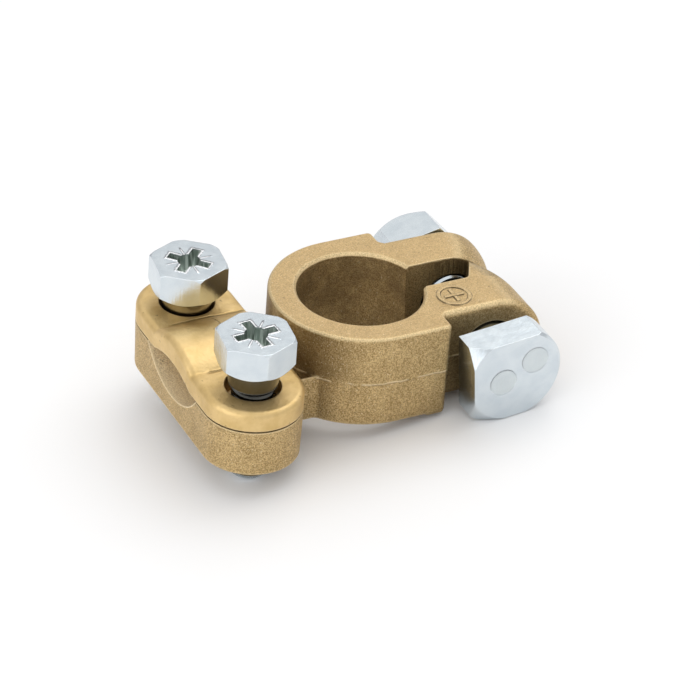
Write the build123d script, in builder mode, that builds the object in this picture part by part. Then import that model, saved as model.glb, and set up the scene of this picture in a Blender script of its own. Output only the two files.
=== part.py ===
"""Split battery terminal clamp with a screwed cable saddle.

Frame: Z is the axis of the battery post and z = 0 is the underside of the ring. +X runs from the
cable saddle through the ring to the two ears, and +Y points to the nut. All sizes are millimetres.
"""
import os
from math import sqrt

from build123d import *

# --- ring and post bore ---
ring_height = 14.25
ring_outer_radius = 13.15
post_bore_top_radius = 9.1
post_taper = 1 / 9  # growth of the bore's diameter for each millimetre downwards
rim_edge_radius = 0.6
bore_edge_chamfer = 0.4
casting_draft_angle = 1.2

# --- shoulders, slot and ears ---
shoulder_reach = 8.1
shoulder_corner_radius = 0.8
foot_height = 0.4
foot_length = 3.2
foot_width = 3.0
foot_inset = 0.05
foot_corner_radius = 0.7
foot_taper_angle = 12
slot_width = 5.5
slot_rear_corner_radius = 0.6
slot_front_corner_radius = 1.0
slot_end_x = 15.9
slot_end_slant = 3.0  # how much further the slot reaches along its rear wall
ear_outer_y = 10.1
ear_end_beyond_bolt = 9.0
ear_top_radius = 8.4
ear_bottom_radius = 4.0
ear_outer_edge_radius = 1.0
lip_setback = 2.1
middle_inset = 2.3
middle_setback = 0.8
full_inset = 6.0
lip_gap = 0.3
mark_x = 11.7
mark_y = -6.3
mark_radius = 2.5
mark_line = 0.5
mark_span = 3.0
mark_relief = 0.15

# --- cable saddle cast on the clamp ---
saddle_x = -21.7
saddle_end_radius = 7.2
saddle_height = 7.05
cable_screw_spacing = 22.2
cable_groove_radius = 10.0
cable_groove_floor_z = 2.95
neck_half_width = 8.3
neck_fillet_radius = 1.2

# --- cable strap ---
strap_gap = 0.25
strap_thickness = 2.9
strap_hump_half_width = 6.0
strap_hump_rise = 1.65
strap_hump_foot_radius = 0.7
strap_arch_half_width = 6.0
strap_arch_rise = 1.35
strap_edge_radius = 0.9
strap_hole_radius = 4.0

# --- cable screws, M6 hexagon heads with a cross recess ---
screw_thread_radius = 3.0
screw_fit = 0.05
screw_across_flats = 10.0
screw_head_height = 4.8
screw_head_face_radius = 5.35
screw_head_top_chamfer = 0.3
screw_head_seat_radius = 4.75
screw_head_under_chamfer = 0.9
screw_collar_top_radius = 3.9
screw_collar_end_radius = 3.5
screw_collar_height = 3.0
screw_length = 18.0
screw_point_chamfer = 0.7
rear_screw_head_top = 17.1
front_screw_head_top = 18.68
screw_head_turn = 22.4
recess_span = 6.3
recess_arm_width = 1.35
recess_core_radius = 1.65
recess_depth = 2.6
recess_taper_angle = 6.0
front_recess_turn = 3.0
rear_recess_turn = 44.0

# --- clamping bolt and nut, M8 ---
bolt_axis_drop = 0.1  # below the middle of the ring's height
bolt_thread_radius = 4.0
bolt_fit = 0.05
bolt_hole_clearance = 0.3
bolt_length = 30.0
bolt_head_back_y = -13.3
bolt_head_thickness = 4.9
bolt_head_flat_x = 6.4
bolt_head_top_z = 6.0
bolt_head_bottom_z = 6.8
bolt_head_round_radius = 7.4
bolt_head_corner_radius = 1.4
bolt_head_turn = 5.5
bolt_head_face_radius = 7.0
bolt_head_chamfer = 2.0
bolt_point_chamfer = 0.8
nut_across_flats = 13.0
nut_height = 6.3
nut_gap = 0.3
nut_face_radius = 6.3
nut_chamfer_slope = 1.2
nut_turn = 12.5

# --- derived places ---
post_bore_bottom_radius = post_bore_top_radius + ring_height * post_taper / 2
bolt_hole_radius = bolt_thread_radius + bolt_hole_clearance
bolt_axis_x = slot_end_x
bolt_axis_z = ring_height / 2 - bolt_axis_drop
ear_reach = bolt_axis_x + ear_end_beyond_bolt
slot_outer_x = slot_end_x + slot_end_slant
cable_screw_y = cable_screw_spacing / 2
saddle_end_y = cable_screw_y + saddle_end_radius
strap_base_z = saddle_height + strap_gap
strap_top_z = strap_base_z + strap_thickness
tapped_hole_radius = screw_thread_radius + screw_fit
screw_corner_radius = screw_across_flats / sqrt(3)
bolt_axis = Axis((bolt_axis_x, 0, bolt_axis_z), (0, 1, 0))
bolt_head_face_y = bolt_head_back_y - bolt_head_thickness
bolt_tip_y = bolt_head_back_y + bolt_length
nut_start_y = ear_outer_y + nut_gap
nut_end_y = nut_start_y + nut_height
nut_cone_y = nut_end_y - (nut_across_flats - nut_face_radius) * nut_chamfer_slope
facing_front = Axis((0, 0, 0), (0, -1, 0))
bolt_head_x_dir = Vector(1, 0, 0).rotate(facing_front, bolt_head_turn)
nut_x_dir = Vector(1, 0, 0).rotate(facing_front, nut_turn)
bolt_head_plane = Plane((bolt_axis_x, bolt_head_back_y, bolt_axis_z), bolt_head_x_dir, (0, -1, 0))
nut_plane = Plane((bolt_axis_x, nut_end_y, bolt_axis_z), nut_x_dir, (0, -1, 0))


with BuildPart() as ears:
    # the ends are set back towards the lips, which meet in line with the rear wall of the slot
    for lip_y, outward in ((slot_width / 2, 1), (slot_width / 2 - lip_gap, -1)):
        for inset, setback in ((0, lip_setback), (middle_inset, middle_setback), (full_inset, 0)):
            with BuildSketch(Plane.XZ.offset(-lip_y - outward * inset)) as ear_side:
                Rectangle(ear_reach - setback, ring_height, align=Align.MIN)
                fillet(ear_side.vertices().sort_by(Axis((0, 0, 0), (1, 1, 0)))[-1], radius=ear_top_radius)
                fillet(ear_side.vertices().sort_by(Axis((0, 0, 0), (1, -1, 0)))[-1], radius=ear_bottom_radius)
        loft()
        outer_face = ears.faces().sort_by(Axis.Y)[-1 if outward > 0 else 0]
        extrude(outer_face, amount=ear_outer_y - abs(lip_y + outward * full_inset))
    for end in (0, -1):
        rims = ears.edges().filter_by(Axis.Y, reverse=True).filter_by_position(Axis.X, 0.1, ear_reach)
        fillet(rims.group_by(Axis.Y)[end], radius=ear_outer_edge_radius)

with BuildPart() as clamp_body:
    # saddle pad and neck, with the cable groove across them as far as the ring
    with BuildSketch(Plane.XY.offset(saddle_height)) as saddle_plan:
        with Locations((saddle_x, 0)):
            SlotCenterToCenter(cable_screw_spacing, 2 * saddle_end_radius, rotation=90)
    extrude(amount=-saddle_height, taper=casting_draft_angle)
    with BuildSketch() as neck_plan:
        with Locations((saddle_x / 2, 0)):
            Rectangle(-saddle_x, 2 * neck_half_width)
    extrude(amount=saddle_height)
    with BuildSketch(Plane.YZ) as cable_groove:
        with Locations((0, cable_groove_floor_z + cable_groove_radius)):
            Circle(cable_groove_radius)
    extrude(amount=saddle_x - 2 * saddle_end_radius, mode=Mode.SUBTRACT)

    # ring and shoulders
    with BuildSketch() as ring_plan:
        Circle(ring_outer_radius)
        with Locations((shoulder_reach / 2, 0)):
            Rectangle(shoulder_reach, 2 * ring_outer_radius)
        fillet(ring_plan.vertices().group_by(Axis.X)[-1], radius=shoulder_corner_radius)
    extrude(amount=ring_height)
    fillet(clamp_body.faces().sort_by(Axis.Z)[-1].edges(), radius=rim_edge_radius)
    neck_corners = clamp_body.edges().filter_by(Axis.Z).filter_by_position(Axis.X, -ring_outer_radius, -1)
    fillet(neck_corners, radius=neck_fillet_radius)

    # feet under the shoulders, and the ears
    with BuildSketch() as feet_plan:
        for side in (-1, 1):
            with Locations((shoulder_reach - foot_inset, side * (ring_outer_radius - foot_inset))):
                Rectangle(foot_length, foot_width, align=(Align.MAX, Align.MIN if side < 0 else Align.MAX))
        fillet(feet_plan.vertices(), radius=foot_corner_radius)
    extrude(amount=-foot_height, taper=foot_taper_angle)
    add(ears.part)

    # tapered bore for the battery post
    with BuildSketch(Plane.XZ) as bore_profile:
        Polygon(
            (0, 0),
            (post_bore_bottom_radius, 0),
            (post_bore_top_radius, ring_height - bore_edge_chamfer),
            (post_bore_top_radius + bore_edge_chamfer, ring_height),
            (0, ring_height),
            align=None,
        )
    revolve(axis=Axis.Z, mode=Mode.SUBTRACT)

    # slot between the ears
    with BuildSketch() as slot_plan:
        Polygon(
            (0, -slot_width / 2),
            (slot_end_x, -slot_width / 2),
            (slot_outer_x, slot_width / 2),
            (0, slot_width / 2),
            align=None,
        )
        fillet(slot_plan.vertices().sort_by(Axis.X)[-1], radius=slot_rear_corner_radius)
        front_corner = slot_plan.vertices().filter_by_position(Axis.X, slot_end_x - 0.01, slot_end_x + 0.01)
        fillet(front_corner, radius=slot_front_corner_radius)
    extrude(amount=ring_height, mode=Mode.SUBTRACT)

    # clearance hole for the clamping bolt
    with BuildSketch(Plane.XZ) as bolt_hole:
        with Locations((bolt_axis_x, bolt_axis_z)):
            Circle(bolt_hole_radius)
    extrude(amount=ear_outer_y, both=True, mode=Mode.SUBTRACT)

    # tapped holes for the two cable screws
    with Locations((saddle_x, cable_screw_y, saddle_height), (saddle_x, -cable_screw_y, saddle_height)):
        Hole(tapped_hole_radius, depth=saddle_height)

    # raised polarity mark on the front ear: a plus in a circle
    with BuildSketch(Plane.XY.offset(ring_height)) as polarity_mark:
        with Locations((mark_x, mark_y)):
            Circle(mark_radius)
            Circle(mark_radius - mark_line, mode=Mode.SUBTRACT)
            Rectangle(mark_span, mark_line)
            Rectangle(mark_line, mark_span)
    extrude(amount=mark_relief)
clamp_body.part.label = "clamp_body"

with BuildPart() as cable_strap:
    with BuildSketch(Plane.YZ) as strap_profile:
        with BuildLine():
            Polyline(
                (-strap_arch_half_width, strap_base_z),
                (-saddle_end_y, strap_base_z),
                (-saddle_end_y, strap_top_z),
                (-strap_hump_half_width, strap_top_z),
            )
            ThreePointArc(
                (-strap_hump_half_width, strap_top_z),
                (0, strap_top_z + strap_hump_rise),
                (strap_hump_half_width, strap_top_z),
            )
            Polyline(
                (strap_hump_half_width, strap_top_z),
                (saddle_end_y, strap_top_z),
                (saddle_end_y, strap_base_z),
                (strap_arch_half_width, strap_base_z),
            )
            ThreePointArc(
                (strap_arch_half_width, strap_base_z),
                (0, strap_base_z + strap_arch_rise),
                (-strap_arch_half_width, strap_base_z),
            )
        make_face()
        middle_corners = strap_profile.vertices().sort_by(Axis.X)[2:-2]
        fillet(middle_corners.group_by(Axis.Y)[-1], radius=strap_hump_foot_radius)
    extrude(amount=saddle_x - saddle_end_radius)
    with BuildSketch() as strap_plan:
        with Locations((saddle_x, 0)):
            SlotCenterToCenter(cable_screw_spacing, 2 * saddle_end_radius, rotation=90)
    extrude(amount=strap_top_z + strap_hump_rise, mode=Mode.INTERSECT)
    raised_edges = cable_strap.edges().filter_by(lambda edge: edge.center().Z > strap_top_z - 0.1)
    fillet(raised_edges.filter_by(Axis.X, reverse=True), radius=strap_edge_radius)
    with Locations((saddle_x, cable_screw_y, strap_top_z), (saddle_x, -cable_screw_y, strap_top_z)):
        Hole(strap_hole_radius, depth=strap_thickness)
cable_strap.part.label = "cable_strap"

with BuildPart() as plain_screw:
    # hexagon head, turned to a cone above and below
    with BuildSketch() as screw_hexagon:
        RegularPolygon(screw_across_flats / 2, 6, major_radius=False, rotation=screw_head_turn)
    extrude(amount=screw_head_height)
    with BuildSketch(Plane.XZ) as head_turning:
        Polygon(
            (0, 0),
            (screw_head_seat_radius, 0),
            (screw_corner_radius, screw_head_under_chamfer),
            (screw_corner_radius, screw_head_height - screw_head_top_chamfer),
            (screw_head_face_radius, screw_head_height),
            (0, screw_head_height),
            align=None,
        )
    revolve(axis=Axis.Z, mode=Mode.INTERSECT)

    # collar and threaded shank below it
    with BuildSketch(Plane.XZ) as shank_profile:
        Polygon(
            (0, 0),
            (screw_collar_top_radius, 0),
            (screw_collar_end_radius, -screw_collar_height),
            (screw_thread_radius, -screw_collar_height),
            (screw_thread_radius, screw_point_chamfer - screw_length),
            (screw_thread_radius - screw_point_chamfer, -screw_length),
            (0, -screw_length),
            align=None,
        )
    revolve(axis=Axis.Z)

with BuildPart() as cross_recess:
    with BuildSketch(Plane.XY.offset(screw_head_height)) as recess_plan:
        Rectangle(recess_span, recess_arm_width)
        Rectangle(recess_arm_width, recess_span)
        Circle(recess_core_radius)
    extrude(amount=-recess_depth, taper=recess_taper_angle)

with BuildPart() as cable_screw_front:
    with Locations((saddle_x, -cable_screw_y, front_screw_head_top - screw_head_height)):
        add(plain_screw.part)
        add(cross_recess.part, rotation=(0, 0, front_recess_turn), mode=Mode.SUBTRACT)
cable_screw_front.part.label = "cable_screw_front"

with BuildPart() as cable_screw_rear:
    with Locations((saddle_x, cable_screw_y, rear_screw_head_top - screw_head_height)):
        add(plain_screw.part)
        add(cross_recess.part, rotation=(0, 0, rear_recess_turn), mode=Mode.SUBTRACT)
cable_screw_rear.part.label = "cable_screw_rear"

with BuildPart() as clamp_bolt:
    # head: flats on three sides and a round fourth side, turned to a cone at its face
    with BuildSketch(bolt_head_plane) as head_outline:
        Circle(bolt_head_round_radius)
        with Locations((-bolt_head_flat_x / 2, 0)):
            Rectangle(bolt_head_flat_x, 2 * bolt_head_round_radius)
        with Locations((-bolt_head_flat_x, -bolt_head_bottom_z)):
            Rectangle(
                bolt_head_round_radius + bolt_head_flat_x,
                bolt_head_top_z + bolt_head_bottom_z,
                align=Align.MIN,
                mode=Mode.INTERSECT,
            )
        fillet(
            head_outline.vertices().group_by(Axis.X)[0].sort_by(Axis.Y)[0],
            radius=bolt_head_corner_radius,
        )
    extrude(amount=bolt_head_thickness)
    with BuildSketch(Plane.XY.offset(bolt_axis_z)) as head_turning:
        Polygon(
            (bolt_axis_x, bolt_head_back_y),
            (bolt_axis_x + bolt_head_face_radius + bolt_head_chamfer, bolt_head_back_y),
            (bolt_axis_x + bolt_head_face_radius + bolt_head_chamfer, bolt_head_face_y + bolt_head_chamfer),
            (bolt_axis_x + bolt_head_face_radius, bolt_head_face_y),
            (bolt_axis_x, bolt_head_face_y),
            align=None,
        )
    revolve(axis=bolt_axis, mode=Mode.INTERSECT)

    # threaded shank
    with BuildSketch(Plane.XY.offset(bolt_axis_z)) as shank_profile:
        Polygon(
            (bolt_axis_x, bolt_head_back_y),
            (bolt_axis_x + bolt_thread_radius, bolt_head_back_y),
            (bolt_axis_x + bolt_thread_radius, bolt_tip_y - bolt_point_chamfer),
            (bolt_axis_x + bolt_thread_radius - bolt_point_chamfer, bolt_tip_y),
            (bolt_axis_x, bolt_tip_y),
            align=None,
        )
    revolve(axis=bolt_axis)
clamp_bolt.part.label = "clamp_bolt"

with BuildPart() as clamp_nut:
    with BuildSketch(nut_plane) as nut_hexagon:
        RegularPolygon(nut_across_flats / 2, 6, major_radius=False)
    extrude(amount=nut_height)
    with BuildSketch(Plane.XY.offset(bolt_axis_z)) as nut_turning:
        Polygon(
            (bolt_axis_x, nut_start_y),
            (bolt_axis_x + nut_across_flats, nut_start_y),
            (bolt_axis_x + nut_across_flats, nut_cone_y),
            (bolt_axis_x + nut_face_radius, nut_end_y),
            (bolt_axis_x, nut_end_y),
            align=None,
        )
    revolve(axis=bolt_axis, mode=Mode.INTERSECT)
    with BuildSketch(nut_plane) as nut_hole:
        Circle(bolt_thread_radius + bolt_fit)
    extrude(amount=nut_height, mode=Mode.SUBTRACT)
clamp_nut.part.label = "clamp_nut"

os.makedirs("parts", exist_ok=True)
export_step(clamp_body.part, "parts/clamp_body.step")
export_step(cable_strap.part, "parts/cable_strap.step")
export_step(cable_screw_front.part, "parts/cable_screw_front.step")
export_step(cable_screw_rear.part, "parts/cable_screw_rear.step")
export_step(clamp_bolt.part, "parts/clamp_bolt.step")
export_step(clamp_nut.part, "parts/clamp_nut.step")
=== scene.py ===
"""Looks for the battery terminal clamp, in the CAD frame and in metres."""
from math import cos, pi, radians, sin

import bmesh
import bpy
from mathutils import Matrix, Vector


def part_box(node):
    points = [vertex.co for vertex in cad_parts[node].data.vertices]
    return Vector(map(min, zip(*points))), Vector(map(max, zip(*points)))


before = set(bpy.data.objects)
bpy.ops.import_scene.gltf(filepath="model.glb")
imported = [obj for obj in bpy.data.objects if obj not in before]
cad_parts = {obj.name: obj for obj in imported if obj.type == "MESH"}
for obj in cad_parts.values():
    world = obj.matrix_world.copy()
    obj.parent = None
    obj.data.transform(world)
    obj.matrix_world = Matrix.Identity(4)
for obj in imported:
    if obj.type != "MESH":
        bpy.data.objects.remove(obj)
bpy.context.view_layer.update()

MM = 0.001
SHADER_SAMPLES = 6  # of the rounded normals and the shelter in corners

# the camera: azimuth, height angle and roll in degrees, distance and aim in metres
CAMERA_AZIMUTH = 28.81
CAMERA_ELEVATION = 33.99
CAMERA_ROLL = 4.63
CAMERA_DISTANCE = 0.5405
CAMERA_AIM = (0.54 * MM, -2.69 * MM)
CAMERA_LIFT = 0.45 * MM  # it was solved about a point this far above the frame's origin
CAMERA_LENS = 193.88  # on a 36 mm sensor

# the lamps: place, aim and size in metres, and power in watts
TOP_LAMP = ((0.26, 0.15, 0.52), (0, 0, 0), (0.5, 0.4), 0.8)
LEFT_LAMP = ((-0.5, -0.12, 0.14), (-0.02, 0, 0), (0.7, 0.4), 1.0)

# the surroundings: strength, the colour at the horizon and above, and the floor's side in metres
SKY_STRENGTH = 0.98
SKY_LOW = (0.50, 0.50, 0.52, 1)
WHITE = (1, 1, 1, 1)
FLOOR_SIZE = 6.0

# what the details are placed by
SCREW_X = -21.7 * MM
SCREW_Y = 11.1 * MM
SCREW_PITCH = 1.0 * MM
SCREW_COLLAR = 7.8 * MM  # from the head's top face to the thread
RECESS_REACH, RECESS_BELOW = 3.3 * MM, 3.5 * MM  # just past the recess's arms and floor
BOLT_X = 15.9 * MM
BOLT_Z = 7.025 * MM
BOLT_PITCH = 1.25 * MM
FRONT_RECESS_TURN, REAR_RECESS_TURN = 3.0, 44.0  # degrees
SEAM_Z = 6.75 * MM
STRAP_TOP = 10.2 * MM
RING_TOP = 14.25 * MM
MARK_X, MARK_Y = 11.7 * MM, -6.3 * MM
MARK_OUTER, MARK_INNER = 2.55 * MM, 1.95 * MM  # where dirt and painted shade lie round the raised ring
MARK_ARM_SIDE = 0.3 * MM  # and beside the arms of the plus, from their middle line
MARK_ARM_REACH = 1.5 * MM
BORE_TOP = 9.1 * MM  # radius of the bore at the ring's top
BORE_SLOPE = 1 / 18
SLOT_REACH = 2.9 * MM  # from the middle to just inside the slot's walls
RING_SIDE = 12.6 * MM  # radius just inside the ring's outer wall
TROUGH_FLOOR = 2.95 * MM
TROUGH_RADIUS = 10.0 * MM
TROUGH_END_X = -13.2 * MM  # where the trough stops at the ring
HEAD_FACE = -18.2 * MM  # y of the bolt head's outer face
DIMPLES = ((14.1 * MM, 6.4 * MM), (18.9 * MM, 9.1 * MM))  # x and z of their middles
DIMPLE_RADIUS = 2.05 * MM
CREASE_Y = 6.3 * MM  # of the creases at the feet of the strap's hump
MOULD_X = -20.5 * MM  # of the mould line across the hump

# colours, linear RGBA
CAST_DARK = (0.32, 0.215, 0.083, 1)
CAST_LIGHT = (0.69, 0.505, 0.252, 1)
CAST_LEVEL_LIT = (0.70, 0.505, 0.265, 1)
CAST_GLINT = (0.98, 0.85, 0.58, 1)
CAST_SHADED = (0.16, 0.105, 0.04, 1)
CAST_FRESH_AND_LIT = (0.99, 0.84, 0.55, 1)
BORE_STAIN_AND_SHADE = (0.13, 0.085, 0.035, 1)
SLOT_STREAK_AND_SHADE = (0.15, 0.10, 0.04, 1)
CAST_WEAR_AND_HIGHLIGHT = (0.98, 0.79, 0.47, 1)
MARK_DIRT_AND_SHADE = (0.14, 0.09, 0.04, 1)
CORNER_SHADE = (0.10, 0.065, 0.025, 1)
PIT_DIRT = (0.12, 0.08, 0.035, 1)
SEAM_HIGHLIGHT = (0.95, 0.78, 0.50, 1)
STRAP_DARK = (0.63, 0.44, 0.18, 1)
STRAP_LIGHT = (0.77, 0.565, 0.27, 1)
STRAP_WEAR_AND_HIGHLIGHT = (0.90, 0.73, 0.44, 1)
STRAP_DIRT = (0.20, 0.13, 0.05, 1)
ZINC_DARK = (0.62, 0.68, 0.72, 1)
ZINC_LIGHT = (0.69, 0.745, 0.775, 1)
ZINC_WEAR_AND_HIGHLIGHT = (0.96, 0.97, 0.98, 1)
RECESS_DARK = (0.34, 0.40, 0.355, 1)
RECESS_LIGHT = (0.93, 0.97, 0.93, 1)
HOLE_SHADE = (0.05, 0.05, 0.045, 1)
BURR_HIGHLIGHT = (0.98, 0.99, 1.0, 1)
DIMPLE_GREY = (0.60, 0.64, 0.62, 1)
FLOOR_DARK = (0.91, 0.905, 0.905, 1)
FLOOR_LIGHT = (0.93, 0.93, 0.93, 1)
FRONT_COLLAR_SHADE = (0.07, 0.062, 0.048, 1)
REAR_COLLAR_SHADE = (0.30, 0.27, 0.19, 1)


class Nodes:
    """A small helper that adds and joins shader nodes in one material."""

    def __init__(self, name):
        self.material = bpy.data.materials.new(name)
        self.material.use_nodes = True
        self.tree = self.material.node_tree
        self.shader = self.tree.nodes["Principled BSDF"]
        self.shader.distribution = "MULTI_GGX"
        self.object_point = self.add("ShaderNodeTexCoord").outputs["Object"]

    def add(self, kind, **settings):
        """A new node with these settings."""
        node = self.tree.nodes.new(kind)
        for key, value in settings.items():
            setattr(node, key, value)
        return node

    def put(self, socket, value):
        """Link a socket to an input, or set the input to a plain value."""
        if isinstance(value, bpy.types.NodeSocket):
            self.tree.links.new(value, socket)
        else:
            socket.default_value = value

    def math(self, operation, a, b=0.0):
        node = self.add("ShaderNodeMath", operation=operation)
        for socket, value in zip(node.inputs, (a, b)):
            self.put(socket, value)
        return node.outputs[0]

    def plus(self, a, b):
        return self.math("ADD", a, b)

    def minus(self, a, b):
        return self.math("SUBTRACT", a, b)

    def times(self, a, b):
        return self.math("MULTIPLY", a, b)

    def larger(self, a, b):
        return self.math("MAXIMUM", a, b)

    def smaller(self, a, b):
        return self.math("MINIMUM", a, b)

    def positive(self, a):
        return self.math("ABSOLUTE", a)

    def length(self, a, b):
        """Distance of the point (a, b) from (0, 0)."""
        return self.math("SQRT", self.plus(self.times(a, a), self.times(b, b)))

    def step(self, value, low, high):
        """0 below low, 1 above high and smooth between; with low above high it falls."""
        node = self.add("ShaderNodeMapRange", interpolation_type="SMOOTHSTEP")
        node.clamp = True
        a, b, first, last = (low, high, 0.0, 1.0) if low < high else (high, low, 1.0, 0.0)
        for name, number in (("From Min", a), ("From Max", b), ("To Min", first), ("To Max", last)):
            node.inputs[name].default_value = number
        self.put(node.inputs["Value"], value)
        return node.outputs["Result"]

    def noise(self, size, detail=3.0, roughness=0.5, point=None):
        """Noise whose lumps are about size metres across."""
        node = self.add("ShaderNodeTexNoise")
        self.put(node.inputs["Vector"], point or self.object_point)
        node.inputs["Scale"].default_value = 1 / size
        node.inputs["Detail"].default_value = detail
        node.inputs["Roughness"].default_value = roughness
        return node.outputs["Fac"]

    def split(self, vector):
        """The sockets of the vector's x, y and z."""
        node = self.add("ShaderNodeSeparateXYZ")
        self.put(node.inputs[0], vector)
        return node.outputs

    def mix(self, factor, first, second):
        node = self.add("ShaderNodeMix", data_type="RGBA")
        self.put(node.inputs["Factor"], factor)
        self.put(node.inputs[6], first)
        self.put(node.inputs[7], second)
        return node.outputs[2]

    def bump(self, height, distance, normal=None):
        node = self.add("ShaderNodeBump")
        self.put(node.inputs["Height"], height)
        node.inputs["Distance"].default_value = distance
        if normal is not None:
            self.put(node.inputs["Normal"], normal)
        return node.outputs["Normal"]

    def true_normal(self):
        return self.add("ShaderNodeNewGeometry").outputs["Normal"]

    def drawn_out(self, scale):
        """The point, scaled so that noise on it is drawn out along the axis with the small scale."""
        node = self.add("ShaderNodeMapping")
        self.put(node.inputs["Vector"], self.object_point)
        node.inputs["Scale"].default_value = scale
        return node.outputs[0]

    def edge_normal(self, radius):
        """The normal, rounded off within this radius of each edge."""
        node = self.add("ShaderNodeBevel", samples=SHADER_SAMPLES)
        node.inputs["Radius"].default_value = radius
        return node.outputs["Normal"]

    def edge_mask(self, radius, low, high):
        """1 along the edges, where wear and painted highlights go, from how far a rounded normal
        leans away from the true one.
        """
        dot = self.add("ShaderNodeVectorMath", operation="DOT_PRODUCT")
        self.put(dot.inputs[0], self.edge_normal(radius))
        self.put(dot.inputs[1], self.true_normal())
        return self.step(self.minus(1.0, dot.outputs["Value"]), low, high)

    def finish(self, color, metallic, roughness, normal):
        """Join these to the shader and return the material."""
        self.put(self.shader.inputs["Base Color"], color)
        self.put(self.shader.inputs["Metallic"], metallic)
        self.put(self.shader.inputs["Roughness"], roughness)
        self.put(self.shader.inputs["Normal"], normal)
        return self.material


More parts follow.
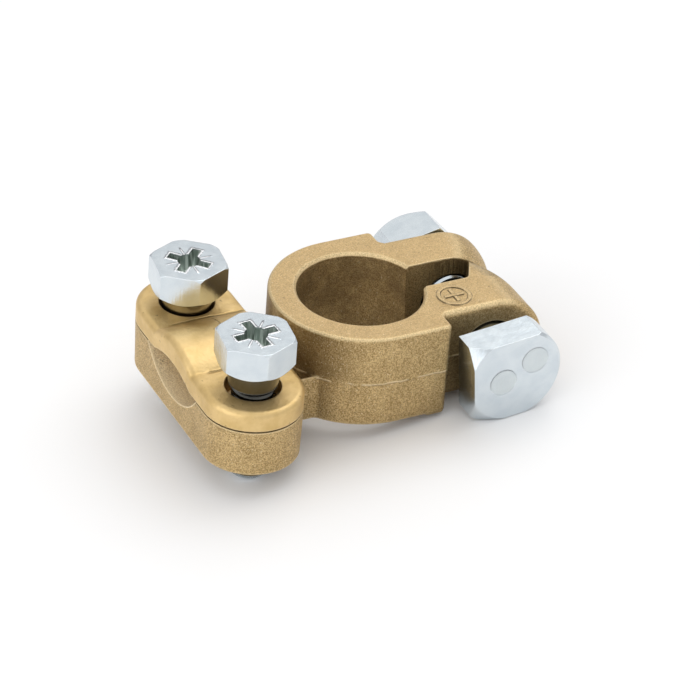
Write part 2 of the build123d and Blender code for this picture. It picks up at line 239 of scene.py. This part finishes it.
def cast_brass():
    """Sand-cast brass: grainy, pitted, paler on its edges from wear and painted highlights, darker
    in the bore from stains and painted shade.
    """
    n = Nodes("cast_brass")
    x, y, z = n.split(n.object_point)[:3]
    grain = n.noise(0.2 * MM, 3.0, 0.75)
    coarse = n.noise(0.6 * MM, 3.0, 0.6)
    cloud = n.noise(3.2 * MM, 4.0, 0.6)
    pits = n.step(n.noise(0.5 * MM, 2.0, 0.5), 0.285, 0.24)

    # the bore's wall, the slot's walls and the trough in the saddle
    radius = n.length(x, y)
    wall = n.minus(BORE_TOP + RING_TOP * BORE_SLOPE, n.times(z, BORE_SLOPE))
    beyond = n.minus(radius, wall)
    below_rim = n.step(z, RING_TOP - 0.45 * MM, RING_TOP - 0.6 * MM)
    inside = n.times(n.step(beyond, 0.2 * MM, 0.1 * MM), below_rim)
    between = n.step(n.positive(y), SLOT_REACH + 0.05 * MM, SLOT_REACH - 0.05 * MM)
    slot = n.times(between, n.step(x, 11.0 * MM, 13.0 * MM))
    slot = n.times(slot, n.step(z, RING_TOP - 0.1 * MM, RING_TOP - 0.3 * MM))
    dy, dz = n.positive(y), n.minus(z, TROUGH_FLOOR + TROUGH_RADIUS)
    trough = n.step(n.length(dy, dz), TROUGH_RADIUS + 0.15 * MM, TROUGH_RADIUS + 0.05 * MM)
    trough = n.times(trough, n.step(x, TROUGH_END_X + 0.2 * MM, TROUGH_END_X - 0.2 * MM))

    # the sandy colour; painted light makes level faces lighter and smoother, painted shade darkens
    # where the ring faces the saddle, and painted glints speckle it
    tone = n.plus(n.times(grain, 0.78), n.times(coarse, 0.1))
    tone = n.plus(tone, n.times(cloud, 0.12))
    outward, _, tilt = n.split(n.true_normal())[:3]
    color = n.mix(n.step(tone, 0.40, 0.60), CAST_DARK, CAST_LIGHT)
    level = n.step(tilt, 0.9, 0.995)
    # painted light: upward faces drawn lighter and plainer
    color = n.mix(n.times(level, 0.45), color, CAST_LEVEL_LIT)
    upper_half = n.step(z, SEAM_Z - 0.5 * MM, SEAM_Z + 1.0 * MM)
    shaded = n.times(n.step(outward, -0.3, -0.75), upper_half)
    shaded = n.times(shaded, n.step(radius, RING_SIDE - 0.2 * MM, RING_SIDE + 0.1 * MM))
    color = n.mix(n.times(shaded, 0.5), color, CAST_SHADED)
    glints = n.step(n.noise(0.28 * MM, 1.0, 0.5), 0.67, 0.73)
    color = n.mix(n.times(glints, 0.5), color, CAST_GLINT)

    # paler metal in the trough, partly freshly scraped and partly painted light; stains and painted
    # shade in the bore; streaks and painted shade in the slot
    stains = n.step(n.noise(4.0 * MM, 4.0, 0.6), 0.35, 0.65)
    upright = n.drawn_out((1.0, 1.0, 0.1))
    streaks = n.step(n.noise(0.5 * MM, 2.0, 0.5, upright), 0.35, 0.65)
    # painted light in the trough, on top of its paler freshly scraped metal
    fresh_and_lit = n.plus(0.5, n.times(n.step(grain, 0.42, 0.58), 0.45))
    color = n.mix(n.times(trough, fresh_and_lit), color, CAST_FRESH_AND_LIT)
    # stains and painted shade darken the bore's wall
    stain_and_shade = n.plus(0.05, n.times(stains, 0.4))
    color = n.mix(n.times(inside, stain_and_shade), color, BORE_STAIN_AND_SHADE)
    # streaks and painted shade darken the slot's walls
    color = n.mix(n.times(slot, n.plus(0.15, n.times(streaks, 0.4))), color, SLOT_STREAK_AND_SHADE)

    # pale edges from wear, and painted highlights along the edges and rounded rims
    open_part = n.minus(1.0, n.larger(inside, slot))
    wear_and_highlight = n.times(n.edge_mask(0.55 * MM, 0.01, 0.12), open_part)
    # painted highlight on the rounded rims near the top
    rim_highlight = n.times(n.step(tilt, 0.25, 0.6), n.step(tilt, 0.995, 0.93))
    rim_highlight = n.times(rim_highlight, n.step(z, RING_TOP - 3.5 * MM, RING_TOP - 0.5 * MM))
    straight = n.larger(n.step(x, 14.0 * MM, 13.0 * MM), n.step(outward, 0.5, 0.2))
    rim_highlight = n.times(n.times(rim_highlight, straight), n.plus(0.1, n.times(grain, 1.2)))
    wear_and_highlight = n.larger(wear_and_highlight, rim_highlight)
    color = n.mix(n.times(wear_and_highlight, 0.65), color, CAST_WEAR_AND_HIGHLIGHT)

    # dirt and painted shade round the polarity sign, painted shade in the corners, and dirt in the
    # pits
    stains_fine = n.step(n.noise(1.2 * MM, 2.0, 0.6), 0.35, 0.55)
    du, dv = n.minus(x, MARK_X), n.minus(y, MARK_Y)
    away = n.length(du, dv)
    outer_line = n.step(n.positive(n.minus(away, MARK_OUTER)), 0.16 * MM, 0.04 * MM)
    inner_line = n.step(n.positive(n.minus(away, MARK_INNER)), 0.14 * MM, 0.04 * MM)
    outlines = n.larger(outer_line, inner_line)
    for one, other in ((du, dv), (dv, du)):
        beside = n.positive(n.minus(n.positive(one), MARK_ARM_SIDE))
        beside = n.step(beside, 0.14 * MM, 0.04 * MM)
        arm = n.step(n.positive(other), MARK_ARM_REACH + 0.05 * MM, MARK_ARM_REACH - 0.05 * MM)
        outlines = n.larger(outlines, n.times(beside, arm))
    outlines = n.times(outlines, n.step(z, RING_TOP - 0.1 * MM, RING_TOP - 0.05 * MM))
    outlines = n.times(outlines, stains_fine)
    # dirt and painted shade along the raised sign's edges
    color = n.mix(n.times(outlines, 0.75), color, MARK_DIRT_AND_SHADE)
    # painted shade in corners and between parts, from ambient occlusion, left out of the trough
    shelter = n.add("ShaderNodeAmbientOcclusion", samples=SHADER_SAMPLES)
    shelter.inputs["Distance"].default_value = 7 * MM
    shade_in_corners = n.step(shelter.outputs["AO"], 0.85, 0.25)
    color = n.mix(n.times(shade_in_corners, n.minus(0.6, n.times(trough, 0.6))), color, CORNER_SHADE)
    color = n.mix(n.times(pits, 0.6), color, PIT_DIRT)

    # the seam left by the two halves of the mould, raised by a bump and drawn paler as a painted
    # highlight
    wander = n.times(n.minus(cloud, 0.5), 0.8 * MM)
    seam_distance = n.positive(n.minus(z, n.plus(SEAM_Z, wander)))
    seam = n.step(seam_distance, 0.24 * MM, 0.05 * MM)
    seam = n.times(seam, n.step(radius, RING_SIDE, RING_SIDE + 0.3 * MM))
    seam = n.times(seam, n.step(n.noise(2.4 * MM, 2.0, 0.5), 0.38, 0.5))
    seam = n.times(seam, n.step(x, TROUGH_END_X - 0.4 * MM, TROUGH_END_X))
    # painted highlight along the seam
    color = n.mix(n.times(seam, 0.6), color, SEAM_HIGHLIGHT)

    normal = n.bump(seam, 0.16 * MM, n.edge_normal(0.3 * MM))
    normal = n.bump(cloud, 0.16 * MM, normal)
    normal = n.bump(coarse, 0.09 * MM, normal)
    normal = n.bump(grain, 0.08 * MM, normal)
    normal = n.bump(n.minus(1.0, pits), 0.10 * MM, normal)
    normal = n.bump(n.times(streaks, slot), 0.1 * MM, normal)
    rough = n.plus(0.40, n.times(grain, 0.16))
    metal = n.minus(0.85, n.times(trough, 0.75))
    return n.finish(color, metal, rough, normal)


def pressed_brass():
    """The strap: smoother and yellower, with faint scratches, creases and a mould line."""
    n = Nodes("pressed_brass")
    x, y, z = n.split(n.object_point)[:3]
    cloud = n.noise(3.5 * MM, 4.0, 0.6)
    grain = n.noise(0.45 * MM, 3.0, 0.6)
    stretch = n.drawn_out((1.0, 0.18, 1.0))
    scratches = n.noise(0.35 * MM, 2.0, 0.5, stretch)
    specks = n.step(n.noise(0.7 * MM, 1.0, 0.4), 0.27, 0.22)
    along = n.positive(y)
    top = n.step(z, STRAP_TOP - 0.2 * MM, STRAP_TOP)
    wander = n.times(n.minus(cloud, 0.5), 1.0 * MM)
    foot_line = n.positive(n.minus(along, n.plus(CREASE_Y, wander)))
    creases = n.times(n.step(foot_line, 0.35 * MM, 0.08 * MM), n.step(x, -26.8 * MM, -25.8 * MM))
    mould_line = n.positive(n.minus(x, n.plus(MOULD_X, wander)))
    mould = n.times(n.step(mould_line, 0.16 * MM, 0.05 * MM), n.step(along, 5.6 * MM, 5.0 * MM))
    marks = n.times(n.larger(creases, mould), top)
    color = n.mix(n.step(cloud, 0.3, 0.7), STRAP_DARK, STRAP_LIGHT)
    # paler edges from wear and painted highlights
    wear_and_highlight = n.edge_mask(0.5 * MM, 0.01, 0.14)
    color = n.mix(n.times(wear_and_highlight, 0.5), color, STRAP_WEAR_AND_HIGHLIGHT)
    dark = n.larger(n.times(marks, 0.6), n.times(specks, 0.5))
    color = n.mix(dark, color, STRAP_DIRT)
    normal = n.bump(cloud, 0.2 * MM, n.edge_normal(0.3 * MM))
    normal = n.bump(grain, 0.03 * MM, normal)
    normal = n.bump(scratches, 0.02 * MM, normal)
    normal = n.bump(n.minus(1.0, marks), 0.12 * MM, normal)
    return n.finish(color, 0.92, n.plus(0.35, n.times(cloud, 0.2)), normal)


def thread_height(n, along, across, up, pitch):
    """Height of a thread that winds round the axis called along."""
    turn = n.math("DIVIDE", n.math("ARCTAN2", up, across), 2 * pi)
    phase = n.math("FRACT", n.plus(n.math("DIVIDE", along, pitch), n.plus(turn, 100.0)))
    return n.math("PINGPONG", n.times(phase, 2.0), 1.0)


def zinc(n, thread, thread_mask, extra=None):
    """Bright zinc plating with fine drawing marks; the thread is drawn where its mask is 1."""
    cloud = n.noise(2.2 * MM, 3.0, 0.6)
    grain = n.noise(0.18 * MM, 2.0, 0.5)
    drawn = n.drawn_out((1.0, 1.0, 0.15))
    marks = n.noise(0.3 * MM, 2.0, 0.5, drawn)
    color = n.mix(n.step(cloud, 0.3, 0.7), ZINC_DARK, ZINC_LIGHT)
    # near-white edges from wear and painted highlights
    wear_and_highlight = n.edge_mask(0.18 * MM, 0.02, 0.15)
    color = n.mix(n.times(wear_and_highlight, 0.5), color, ZINC_WEAR_AND_HIGHLIGHT)
    normal = n.bump(cloud, 0.025 * MM, n.edge_normal(0.12 * MM))
    facing = n.positive(n.split(n.true_normal())[2])
    sides = n.step(facing, 0.5, 0.3)
    normal = n.bump(n.times(marks, sides), 0.014 * MM, normal)
    normal = n.bump(grain, 0.0008 * MM, normal)
    normal = n.bump(n.times(thread, thread_mask), 0.5 * MM, normal)
    rough = n.plus(0.17, n.times(cloud, 0.1))
    if extra:
        color, rough, normal = extra(color, rough, normal)
    return n.finish(color, 1.0, rough, normal)


def turned(n, u, v, angle):
    """How far (u, v) lies along and beside an axis turned by an angle in degrees, unsigned."""
    c, s = cos(radians(angle)), sin(radians(angle))
    along = n.plus(n.times(u, c), n.times(v, s))
    aside = n.minus(n.times(v, c), n.times(u, s))
    return n.positive(along), n.positive(aside)


def screw_zinc(name, y_axis, top, recess_turn):
    """Plating of a cable screw, with the burred, dull recess and the four strokes beside it, painted
    highlights on the burrs and strokes, and painted shade on the collar and in the strap's hole.
    """
    n = Nodes(name)
    x, y, z = n.split(n.object_point)[:3]
    u, v = n.minus(x, SCREW_X), n.minus(y, y_axis)
    radius = n.length(u, v)
    thread = thread_height(n, z, u, v, SCREW_PITCH)
    collar_end = top - SCREW_COLLAR
    below = n.step(z, collar_end + 0.1 * MM, collar_end - 0.1 * MM)

    def details(color, rough, normal):
        """The dull recess, painted shade on the collar and in the strap's hole, and the burrs and
        strokes on the head with painted highlights.
        """
        depth = n.minus(top, z)
        inner = n.step(radius, RECESS_REACH + 0.1 * MM, RECESS_REACH - 0.1 * MM)
        inner = n.times(inner, n.step(depth, 0.1 * MM, 0.3 * MM))
        inner = n.times(inner, n.step(depth, RECESS_BELOW + 0.1 * MM, RECESS_BELOW - 0.1 * MM))
        streaks = n.noise(0.4 * MM, 2.0, 0.5)
        flute = n.drawn_out((1.0, 1.0, 0.06))
        flutes = n.noise(0.45 * MM, 1.0, 0.5, flute)
        dull = n.mix(n.step(flutes, 0.38, 0.62), RECESS_DARK, RECESS_LIGHT)
        color = n.mix(n.times(inner, 0.9), color, dull)
        above_base = n.step(z, 0.0, 0.5 * MM)
        # painted shade on the collar below the head, lighter on the rear screw
        under = n.times(n.step(depth, 4.5 * MM, 5.3 * MM), above_base)
        color = n.mix(n.times(under, 0.9), color, FRONT_COLLAR_SHADE if y_axis < 0 else REAR_COLLAR_SHADE)
        sunk = n.times(n.step(z, STRAP_TOP + 0.3 * MM, STRAP_TOP - 0.2 * MM), above_base)
        color = n.mix(n.times(sunk, 0.6), color, HOLE_SHADE)
        face = n.step(depth, 0.1 * MM, 0.02 * MM)
        long_way, cross_way = turned(n, u, v, recess_turn)
        shorter = n.smaller(long_way, cross_way)
        longer = n.larger(long_way, cross_way)
        uneven = n.times(streaks, 0.5 * MM)
        burr = n.step(n.plus(shorter, uneven), 1.35 * MM, 1.1 * MM)
        burr = n.times(burr, n.step(n.plus(longer, uneven), 3.75 * MM, 3.5 * MM))
        along, aside = turned(n, u, v, recess_turn + 45)
        narrow = n.smaller(along, aside)
        strokes = n.times(n.step(narrow, 0.2 * MM, 0.06 * MM), n.step(radius, 3.6 * MM, 2.9 * MM))
        bright = n.times(n.larger(burr, strokes), face)
        # painted highlight on the raised burrs and strokes
        color = n.mix(bright, color, BURR_HIGHLIGHT)
        normal = n.bump(bright, 0.22 * MM, normal)
        rough = n.plus(rough, n.times(inner, 0.15))
        return color, rough, normal

    return zinc(n, thread, below, details)


def bolt_zinc(name):
    """Plating of the clamping bolt and its nut."""
    n = Nodes(name)
    x, y, z = n.split(n.object_point)[:3]
    u, w = n.minus(x, BOLT_X), n.minus(z, BOLT_Z)
    radius = n.length(u, w)
    thread = thread_height(n, y, u, w, BOLT_PITCH)
    shank = n.times(n.step(radius, 4.15 * MM, 4.05 * MM), n.step(y, -6.0 * MM, -5.0 * MM))

    def details(color, rough, normal):
        """Two plain round dimples struck in the face of the head."""
        dimples = 0.0
        for across, up in DIMPLES:
            du, dw = n.minus(x, across), n.minus(z, up)
            away = n.minus(n.length(du, dw), DIMPLE_RADIUS)
            dimples = n.larger(dimples, n.step(away, 0.15 * MM, -0.15 * MM))
        dimples = n.times(dimples, n.step(y, HEAD_FACE + 1.0 * MM, HEAD_FACE + 0.8 * MM))
        speckle = n.noise(0.35 * MM, 3.0, 0.6)
        color = n.mix(n.times(dimples, 0.35), color, DIMPLE_GREY)
        rough = n.plus(rough, n.times(dimples, 0.15))
        normal = n.bump(n.minus(1.0, dimples), 0.18 * MM, normal)
        return color, rough, n.bump(n.times(speckle, dimples), 0.03 * MM, normal)

    return zinc(n, thread, shank, details)


def dress(node, material):
    """Give a solid its only material."""
    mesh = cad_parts[node].data
    mesh.materials.clear()
    mesh.materials.append(material)


front_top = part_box("cable_screw_front")[1].z
rear_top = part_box("cable_screw_rear")[1].z
dress("clamp_body", cast_brass())
dress("cable_strap", pressed_brass())
dress("cable_screw_front", screw_zinc("zinc_screw_front", -SCREW_Y, front_top, FRONT_RECESS_TURN))
dress("cable_screw_rear", screw_zinc("zinc_screw_rear", SCREW_Y, rear_top, REAR_RECESS_TURN))
dress("clamp_bolt", bolt_zinc("zinc_bolt"))
dress("clamp_nut", bolt_zinc("zinc_nut"))


def resting_plane():
    """Point and upward normal of the hull face that the clamp stands on, below the origin."""
    hull = bmesh.new()
    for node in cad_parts.values():
        for vertex in node.data.vertices:
            hull.verts.new(vertex.co)
    bmesh.ops.convex_hull(hull, input=hull.verts)
    hull.normal_update()
    plane, nearest = None, None
    for face in hull.faces:
        if face.normal.z > -0.5:
            continue
        corners = [vertex.co.xy for vertex in face.verts]
        centre = face.calc_center_median()
        here = (centre.copy(), -face.normal.copy())
        if all(a.cross(b) < 0 for a, b in zip(corners, corners[1:] + corners[:1])):
            plane = here
            break
        if nearest is None or centre.xy.length < nearest:
            plane, nearest = here, centre.xy.length
    hull.free()
    return plane


def backdrop():
    """A pale floor under the resting clamp."""
    point, up = resting_plane()
    bpy.ops.mesh.primitive_plane_add(size=FLOOR_SIZE)
    floor = bpy.context.object
    floor.name = "floor"
    turn = up.to_track_quat("Z", "Y").to_matrix().to_4x4()
    floor.matrix_world = Matrix.Translation(point) @ turn
    n = Nodes("floor_white")
    tone = n.noise(0.3, 2.0, 0.5)
    color = n.mix(tone, FLOOR_DARK, FLOOR_LIGHT)
    n.finish(color, 0.0, 0.55, n.bump(n.noise(2 * MM), 0.001 * MM))
    floor.data.materials.append(n.material)


def area_light(name, place, aim, size, power):
    """A rectangular lamp that points at aim."""
    light = bpy.data.lights.new(name, "AREA")
    light.shape = "RECTANGLE"
    light.size, light.size_y = size
    light.energy = power
    lamp = bpy.data.objects.new(name, light)
    bpy.context.scene.collection.objects.link(lamp)
    lamp.location = place
    lamp.rotation_euler = (Vector(aim) - Vector(place)).to_track_quat("-Z", "Y").to_euler()


def studio():
    """White surroundings that are brighter above, and soft lamps."""
    world = bpy.data.worlds.new("studio")
    bpy.context.scene.world = world
    world.use_nodes = True
    tree = world.node_tree
    tree.nodes.clear()
    output = tree.nodes.new("ShaderNodeOutputWorld")
    choose = tree.nodes.new("ShaderNodeMixShader")
    seen = tree.nodes.new("ShaderNodeBackground")
    seen.inputs["Color"].default_value = WHITE
    around = tree.nodes.new("ShaderNodeBackground")
    direction = tree.nodes.new("ShaderNodeTexCoord")
    parts = tree.nodes.new("ShaderNodeSeparateXYZ")
    ramp = tree.nodes.new("ShaderNodeValToRGB")
    ramp.color_ramp.elements[0].position = 0.0
    ramp.color_ramp.elements[0].color = SKY_LOW
    ramp.color_ramp.elements[1].position = 0.7
    ramp.color_ramp.elements[1].color = WHITE
    path = tree.nodes.new("ShaderNodeLightPath")
    tree.links.new(direction.outputs["Generated"], parts.inputs[0])
    tree.links.new(parts.outputs["Z"], ramp.inputs["Fac"])
    tree.links.new(ramp.outputs["Color"], around.inputs["Color"])
    around.inputs["Strength"].default_value = SKY_STRENGTH
    tree.links.new(path.outputs["Is Camera Ray"], choose.inputs["Fac"])
    tree.links.new(around.outputs[0], choose.inputs[1])
    tree.links.new(seen.outputs[0], choose.inputs[2])
    tree.links.new(choose.outputs[0], output.inputs["Surface"])
    area_light("top", *TOP_LAMP)
    area_light("left", *LEFT_LAMP)


def camera():
    """The camera, turned by its roll about its own line of sight."""
    az, el, roll = radians(CAMERA_AZIMUTH), radians(CAMERA_ELEVATION), radians(CAMERA_ROLL)
    ahead = Vector((sin(az) * cos(el), cos(az) * cos(el), -sin(el)))
    right = Vector((cos(az), -sin(az), 0))
    over = right.cross(ahead)
    right_rolled = right * cos(roll) + over * sin(roll)
    over_rolled = over * cos(roll) - right * sin(roll)
    place = -ahead * CAMERA_DISTANCE - right_rolled * CAMERA_AIM[0] - over_rolled * CAMERA_AIM[1]
    place.z += CAMERA_LIFT
    data = bpy.data.cameras.new("camera")
    data.sensor_width = 36.0
    data.lens = CAMERA_LENS
    data.clip_start = 0.01
    eye = bpy.data.objects.new("camera", data)
    bpy.context.scene.collection.objects.link(eye)
    turn = Matrix((right_rolled, over_rolled, -ahead)).transposed()
    eye.matrix_world = Matrix.Translation(place) @ turn.to_4x4()
    bpy.context.scene.camera = eye


backdrop()
studio()
camera()
bpy.context.scene.view_settings.view_transform = "Standard"
